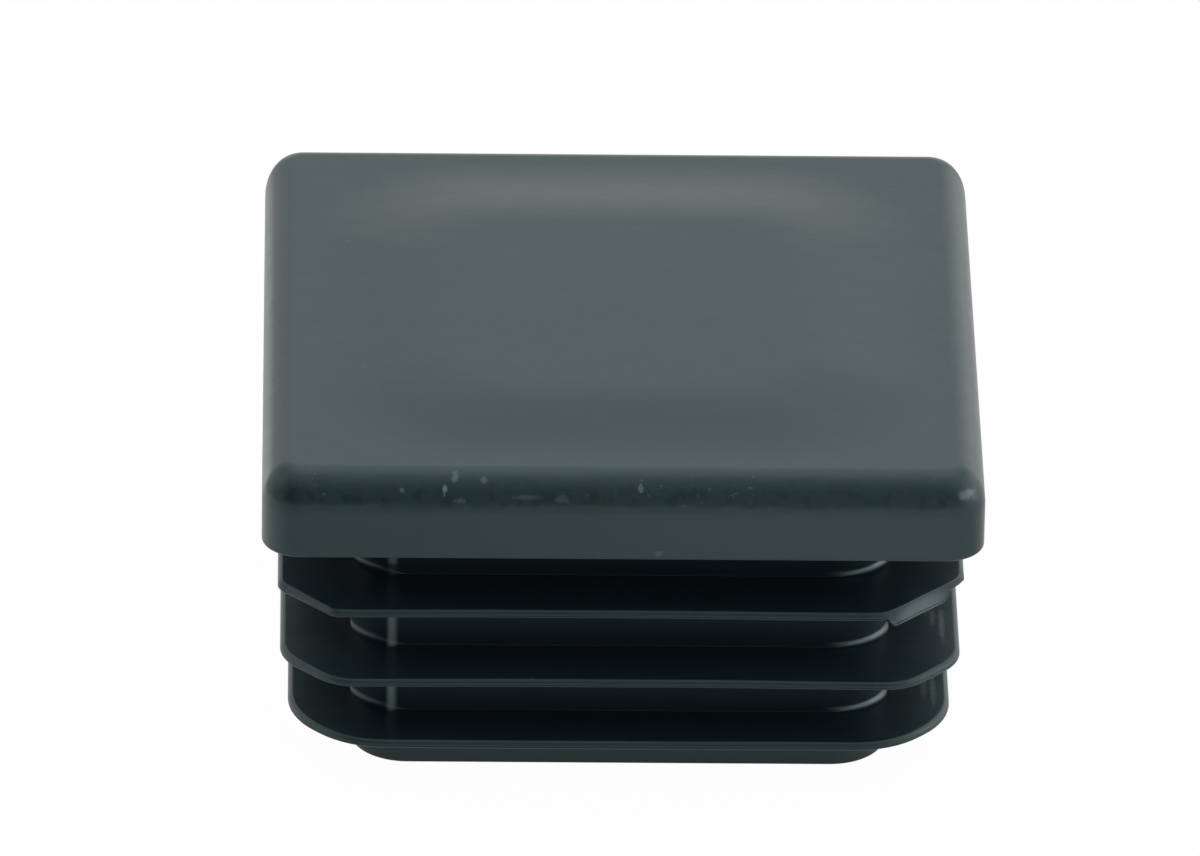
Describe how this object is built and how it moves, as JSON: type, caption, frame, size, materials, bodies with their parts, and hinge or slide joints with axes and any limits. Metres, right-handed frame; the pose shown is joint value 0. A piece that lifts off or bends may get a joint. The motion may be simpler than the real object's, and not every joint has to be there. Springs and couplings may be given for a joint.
{
  "type": "square tube end cap",
  "caption": "Push-in end cap for square tube: a thick square head with rounded edges over a hollow square core ringed by thin flexible ribs that grip the tube.",
  "frame": {"origin": "centre of the shoulder, the head's underside that meets the end of the tube", "axes": "+Z out of the tube, through the head's top; X and Y along the sides of the square"},
  "size_m": [0.04, 0.04, 0.0213],
  "materials": {
    "black_polyethylene": "black moulded polyethylene, satin on the head and glossier on the ribs"
  },
  "bodies": {
    "root": {"end_cap": "black_polyethylene"}
  },
  "joints": []
}
